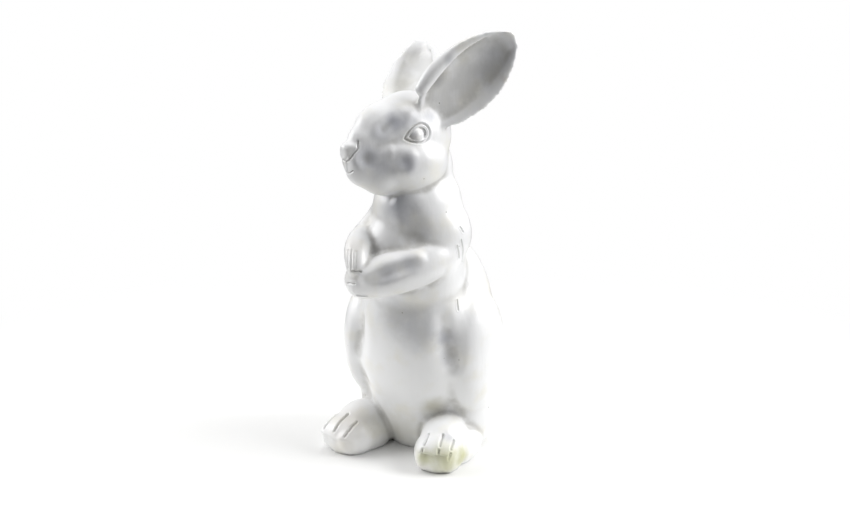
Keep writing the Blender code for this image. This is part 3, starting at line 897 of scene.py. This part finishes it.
tree = paint.node_tree
shader = tree.nodes["Principled BSDF"]
shader.inputs["Coat Weight"].default_value = 0.35
shader.inputs["Coat Roughness"].default_value = 0.16
place = tree.nodes.new("ShaderNodeTexCoord").outputs["Object"]


def add_group(group, **settings):
    node = tree.nodes.new("ShaderNodeGroup")
    node.node_tree = group
    tree.links.new(place, node.inputs["Vector"])
    for label, value in settings.items():
        node.inputs[label].default_value = value
    return node


def attribute(name):
    node = tree.nodes.new("ShaderNodeAttribute")
    node.attribute_name = name
    return node.outputs["Fac"]


brush = add_group(brush_group)
pits = add_group(pit_group)
colour = add_mix(tree, brush.outputs["Thin"], PAINT_WHITE, PAINT_CREAM)
skin = skin_of(rabbit)
# The patches mix stains and painted shade: the SHADE_GREY ones are painted shade.
for pixel, radius, strength, tint in PATCHES.values():
    stain_and_shade = add_group(stain_and_shade_group, Place=seen_at(skin, pixel), Radius=radius * UNIT, Strength=strength)
    colour = add_mix(tree, stain_and_shade.outputs["Mask"], colour, (*tint, 1.0))
patchy = add_range(tree, add_noise(tree, place, 40.0), 0.25, 0.6)
# Hollows and tool lines are darkened: partly grime and partly painted shade.
hollows_and_tool_lines = add_math(tree, "MAXIMUM", attribute("hollow"), attribute("tool_line_dirt_and_shade"))
grime_and_shade = add_math(tree, "MULTIPLY", hollows_and_tool_lines, patchy)
colour = add_mix(tree, add_math(tree, "MULTIPLY", grime_and_shade, 0.6), colour, GRIME_AND_SHADE)
colour = add_mix(tree, pits.outputs["Mask"], colour, GRIME_AND_SHADE)
tree.links.new(colour, shader.inputs["Base Color"])
tree.links.new(add_range(tree, brush.outputs["Height"], 0.4, 1.1, 0.30, 0.46), shader.inputs["Roughness"])
bump = tree.nodes.new("ShaderNodeBump")
bump.inputs["Distance"].default_value = 1.2 * UNIT
bump.inputs["Strength"].default_value = 0.5
relief = add_math(tree, "SUBTRACT", brush.outputs["Height"], pits.outputs["Mask"])
tree.links.new(relief, bump.inputs["Height"])
tree.links.new(bump.outputs["Normal"], shader.inputs["Normal"])
tree.links.new(bump.outputs["Normal"], shader.inputs["Coat Normal"])
rabbit.data.materials.clear()
rabbit.data.materials.append(paint)
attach(rabbit, "root")
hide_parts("rabbit")
shades = sum(tint == SHADE_GREY for pixel, radius, strength, tint in PATCHES.values())
print("paint", paint.name, "with", len(PATCHES) - shades, "stains and", shades, "painted shades")

# %% [markdown]
# ## Floor, world and lights
# A white figure on a white ground is read only by its shading. A strong softbox
# stands at its left, a weaker one at its right, and two faint ones hang high and
# above. The room is bright round the sides, black on the camera's side and half
# dim behind, so the planes that face us are grey and the edges are white. The
# floor is a plain white sheet. Near the rabbit it takes light and shadow as any
# surface does, and further out it glows plain white, so that it has no horizon.

# %% Floor
FLOOR_NEAR = 0.45
FLOOR_FAR = 1.0
FLOOR_WHITE = (0.80, 0.80, 0.795, 1.0)
FLOOR_BOUNCE = (0.90, 0.90, 0.885, 1.0)

bpy.ops.object.select_all(action="DESELECT")
bpy.ops.mesh.primitive_circle_add(vertices=96, radius=30.0, fill_type="NGON", location=(0.0, 0.0, 0.0))
floor = bpy.context.object
floor.name = "Floor"
sheet_white = bpy.data.materials.new("White sheet")
sheet_white.use_nodes = True
floor_nodes, floor_links = sheet_white.node_tree.nodes, sheet_white.node_tree.links
floor_shader = floor_nodes["Principled BSDF"]
floor_shader.inputs["Roughness"].default_value = 0.9
floor_shader.inputs["Specular IOR Level"].default_value = 0.0
floor_place = floor_nodes.new("ShaderNodeTexCoord")
floor_away = floor_nodes.new("ShaderNodeVectorMath")
floor_away.operation = "LENGTH"
floor_links.new(floor_place.outputs["Object"], floor_away.inputs[0])
outward = floor_nodes.new("ShaderNodeMapRange")
outward.interpolation_type = "SMOOTHSTEP"
outward.inputs["From Min"].default_value = FLOOR_NEAR
outward.inputs["From Max"].default_value = FLOOR_FAR
floor_links.new(floor_away.outputs["Value"], outward.inputs["Value"])
floor_colour = floor_nodes.new("ShaderNodeMix")
floor_colour.data_type = "RGBA"
floor_colour.inputs[6].default_value = FLOOR_BOUNCE
floor_colour.inputs[7].default_value = FLOOR_WHITE
seen = floor_nodes.new("ShaderNodeLightPath")
floor_links.new(seen.outputs["Is Camera Ray"], floor_colour.inputs["Factor"])
floor_links.new(floor_colour.outputs[2], floor_shader.inputs["Base Color"])
glow = floor_nodes.new("ShaderNodeEmission")
floor_links.new(seen.outputs["Is Camera Ray"], glow.inputs["Strength"])
choose = floor_nodes.new("ShaderNodeMixShader")
floor_links.new(outward.outputs["Result"], choose.inputs["Fac"])
floor_links.new(floor_shader.outputs["BSDF"], choose.inputs[1])
floor_links.new(glow.outputs["Emission"], choose.inputs[2])
floor_links.new(choose.outputs["Shader"], floor_nodes["Material Output"].inputs["Surface"])
floor.data.materials.append(sheet_white)
print("floor radius", floor.dimensions.x / 2)

# %% World
ROUND = 1.42
DIM = 0.0
BEHIND = 0.45
world = bpy.data.worlds.new("Studio")
bpy.context.scene.world = world
world.use_nodes = True
sky_nodes, sky_links = world.node_tree.nodes, world.node_tree.links
backdrop = sky_nodes["Background"]
backdrop.inputs["Color"].default_value = (1.0, 1.0, 1.0, 1.0)
direction = sky_nodes.new("ShaderNodeTexCoord")
toward = sky_nodes.new("ShaderNodeVectorMath")
toward.operation = "DOT_PRODUCT"
toward.inputs[1].default_value = (math.sin(turn_out), -math.cos(turn_out), 0.0)
sky_links.new(direction.outputs["Generated"], toward.inputs[0])
dim_side = sky_nodes.new("ShaderNodeMapRange")
dim_side.interpolation_type = "SMOOTHSTEP"
dim_side.inputs["From Min"].default_value = 0.0
dim_side.inputs["From Max"].default_value = 0.45
dim_side.inputs["To Min"].default_value = ROUND
dim_side.inputs["To Max"].default_value = DIM
sky_links.new(toward.outputs["Value"], dim_side.inputs["Value"])
behind = sky_nodes.new("ShaderNodeMapRange")
behind.interpolation_type = "SMOOTHSTEP"
behind.inputs["From Min"].default_value = -0.9
behind.inputs["From Max"].default_value = -0.35
behind.inputs["To Min"].default_value = BEHIND
sky_links.new(toward.outputs["Value"], behind.inputs["Value"])
around = sky_nodes.new("ShaderNodeMath")
around.operation = "MULTIPLY"
sky_links.new(dim_side.outputs["Result"], around.inputs[0])
sky_links.new(behind.outputs["Result"], around.inputs[1])
sky_links.new(around.outputs["Value"], backdrop.inputs["Strength"])
print("world ready")

# %% Softboxes
LIGHT_AIM = Vector((0.0, 0.0, 0.28))


def softbox(name, around, up, away, size, power):
    """A square light, placed round the rabbit from the camera's side, in degrees."""
    azimuth = turn_out + math.radians(around)
    rising = math.radians(up)
    outwards = Vector(
        (math.sin(azimuth) * math.cos(rising), -math.cos(azimuth) * math.cos(rising), math.sin(rising))
    )
    bpy.ops.object.light_add(type="AREA", location=LIGHT_AIM + outwards * away)
    lamp = bpy.context.object
    lamp.name = name
    lamp.data.shape = "SQUARE"
    lamp.data.size = size
    lamp.data.energy = power
    lamp.rotation_euler = outwards.to_track_quat("Z", "Y").to_euler()
    return lamp


softbox("Right softbox", 82.0, 32.0, 1.5, 0.9, 18.5)
softbox("Left softbox", -98.0, 25.0, 1.5, 0.9, 9.5)
softbox("High softbox", -20.0, 45.0, 1.5, 0.8, 2.8)
softbox("Top softbox", 0.0, 88.0, 1.5, 1.0, 2.4)
bpy.context.scene.view_settings.view_transform = "Standard"
